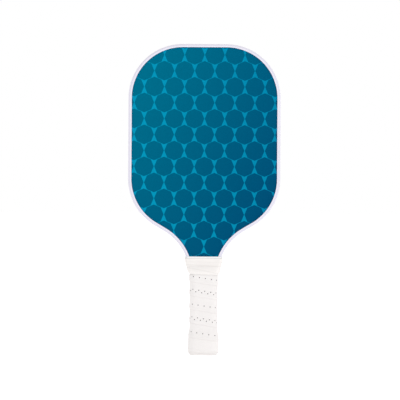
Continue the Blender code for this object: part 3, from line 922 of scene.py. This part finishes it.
def tape_vinyl(name, cool, warm, roughness):
    look = Look(name, roughness, Specular_IOR_Level=0.4)
    place = look.place()
    shade, near_edge, _ = look.parts(look.kept("tape"))
    base = look.mixed(look.noise(place, 70.0, 4.0), cool, warm)
    # Painted shade along the band's edges and at each turn's lap, from the kept shade
    painted_edge_shade = look.fitted(near_edge, 0.0, 0.5 * MM, 0.2, 0.0)
    by_lap = look.math("MULTIPLY", shade, 0.3)
    look.color(look.mixed(look.math("MAXIMUM", painted_edge_shade, by_lap), base, srgb(210, 204, 199)))
    pulls = look.noise(look.stretched(place, 160.0, 160.0, 2200.0), 1.0, 3.0)
    look.bump(pulls, 0.03 * MM)
    look.bump(look.noise(place, 2200.0, 2.0), 0.012 * MM)
    look.roughness(look.fitted(pulls, 0.3, 0.7, roughness - 0.07, roughness + 0.08))
    return look.material


def moulded(name, low, high, roughness, scale=1800.0, relief=0.02 * MM, **sockets):
    """A plain moulded or pressed material: mottled colour, fine grain and uneven gloss."""
    look = Look(name, roughness, **sockets)
    place = look.place()
    look.color(look.mixed(look.noise(place, 110.0, 4.0), low, high))
    look.bump(look.noise(place, scale, 3.0), relief)
    look.roughness(look.fitted(look.noise(place, 300.0, 3.0), 0.3, 0.7, roughness - 0.06, roughness + 0.08))
    return look.material


def dress_nodes(materials):
    """Gives CAD nodes that stay as they are their own materials."""
    for name, material in materials.items():
        data = frame["nodes"][name].data
        data.materials.clear()
        data.materials.append(material)


# ---------------------------------------------------------------- stage

WHITE = (1.0, 1.0, 1.0, 1.0)
SKY_GLOW = 0.80
FLOOR_GLOW = 0.20
FLOOR_GLOW_SEEN = 0.55
FLOOR_RADIUS = 14.0
FLOOR_DROP = 0.2 * MM
CAMERA_DISTANCE = 1.35
CAMERA_SEEN_WIDTH = 0.5222
CAMERA_X = -0.0053
CAMERA_Z = 0.2022
CAMERA_ROLL = math.radians(-0.32)


def area_light(name, place, aim, size, power):
    light = bpy.data.lights.new(name, "AREA")
    light.shape = "RECTANGLE"
    light.size, light.size_y = size
    light.energy = power
    lamp = bpy.data.objects.new(name, light)
    lamp.location = place
    lamp.rotation_euler = (Vector(aim) - Vector(place)).to_track_quat("-Z", "Y").to_euler()
    bpy.context.scene.collection.objects.link(lamp)


def seen_or_lit(tree, seen, lit):
    """One strength for what the camera sees and another for the light that falls on the paddle."""
    path = tree.nodes.new("ShaderNodeLightPath")
    level = tree.nodes.new("ShaderNodeMapRange")
    level.inputs["To Min"].default_value = lit
    level.inputs["To Max"].default_value = seen
    tree.links.new(path.outputs["Is Camera Ray"], level.inputs["Value"])
    return level.outputs["Result"]


def floor():
    """A pale floor, large enough to reach past every view."""
    mesh = bpy.data.meshes.new("studio_floor")
    work = bmesh.new()
    bmesh.ops.create_circle(work, cap_ends=True, segments=96, radius=FLOOR_RADIUS)
    work.to_mesh(mesh)
    work.free()
    look = Look("floor_paper", 0.9, Specular_IOR_Level=0.0)
    place = look.place()
    look.color(look.mixed(look.noise(place, 3.0, 3.0), srgb(250, 250, 251), srgb(254, 254, 254)))
    look.shader.inputs["Emission Color"].default_value = WHITE
    look.link(seen_or_lit(look.tree, FLOOR_GLOW_SEEN, FLOOR_GLOW), look.shader.inputs["Emission Strength"])
    mesh.materials.append(look.material)
    ground = bpy.data.objects.new("studio_floor", mesh)
    ground.location.z = -FLOOR_DROP
    bpy.context.scene.collection.objects.link(ground)


def world():
    """White all round for the camera, and an even, dimmer white for light."""
    made = bpy.data.worlds.new("studio")
    made.use_nodes = True
    tree = made.node_tree
    background = tree.nodes["Background"]
    tree.links.new(seen_or_lit(tree, 1.0, SKY_GLOW), background.inputs["Strength"])
    background.inputs["Color"].default_value = WHITE
    bpy.context.scene.world = made


def lights():
    middle = (0.0, 0.0, 0.22)
    area_light("key_softbox", (1.75, -1.3, 0.8), middle, (1.2, 1.2), 7.3)
    area_light("fill_softbox", (-1.4, -1.4, 0.5), middle, (1.4, 1.4), 3.0)
    area_light("back_softbox", (0.3, 1.6, 1.0), middle, (1.6, 1.2), 3.2)


def camera():
    """Straight on at half height, a little left of the handle, turned by the paddle's slight lean."""
    lens = bpy.data.cameras.new("camera")
    lens.sensor_width = 36.0
    lens.lens = lens.sensor_width * CAMERA_DISTANCE / CAMERA_SEEN_WIDTH
    lens.clip_start = 0.05
    lens.clip_end = 60.0
    view = bpy.data.objects.new("camera", lens)
    view.location = (CAMERA_X, -CAMERA_DISTANCE - GUARD_HALF, CAMERA_Z)
    view.rotation_euler = (math.pi / 2, CAMERA_ROLL, 0.0)
    bpy.context.scene.collection.objects.link(view)
    bpy.context.scene.camera = view


def build():
    edge_guard(guard_plastic())
    grip_wrap(cushion_wrap())
    tape = tape_vinyl("finishing_tape", srgb(244, 239, 236), srgb(251, 247, 244), 0.45)
    base = tape_vinyl("base_tape", srgb(243, 244, 247), srgb(248, 249, 250), 0.35)
    neck_tapes(tape, base)
    butt_cap(moulded("cap_plastic", srgb(236, 232, 230), srgb(243, 240, 238), 0.45))
    butt_badge(moulded("badge_plastic", srgb(206, 207, 212), srgb(222, 223, 228), 0.34))
    foam = moulded("handle_foam", srgb(178, 168, 150), srgb(196, 187, 170), 0.8, 900.0, 0.1 * MM)
    steel = moulded("staple_steel", srgb(172, 173, 176), srgb(200, 201, 204), 0.34, Metallic=1.0)
    dress_nodes(
        {
            "front_face_sheet": printed_face("front_print", -1),
            "rear_face_sheet": printed_face("rear_print", 1),
            "honeycomb_core": moulded("core_polypropylene", srgb(214, 220, 212), srgb(230, 234, 228), 0.5),
            "front_handle_block": foam,
            "rear_handle_block": foam,
            "front_staple": steel,
            "rear_staple": steel,
            "grip_backing_tape": moulded("backing_paper", srgb(200, 182, 150), srgb(214, 198, 168), 0.7),
        }
    )
    floor()
    world()
    lights()
    camera()
    bpy.context.scene.view_settings.view_transform = "Standard"


build()
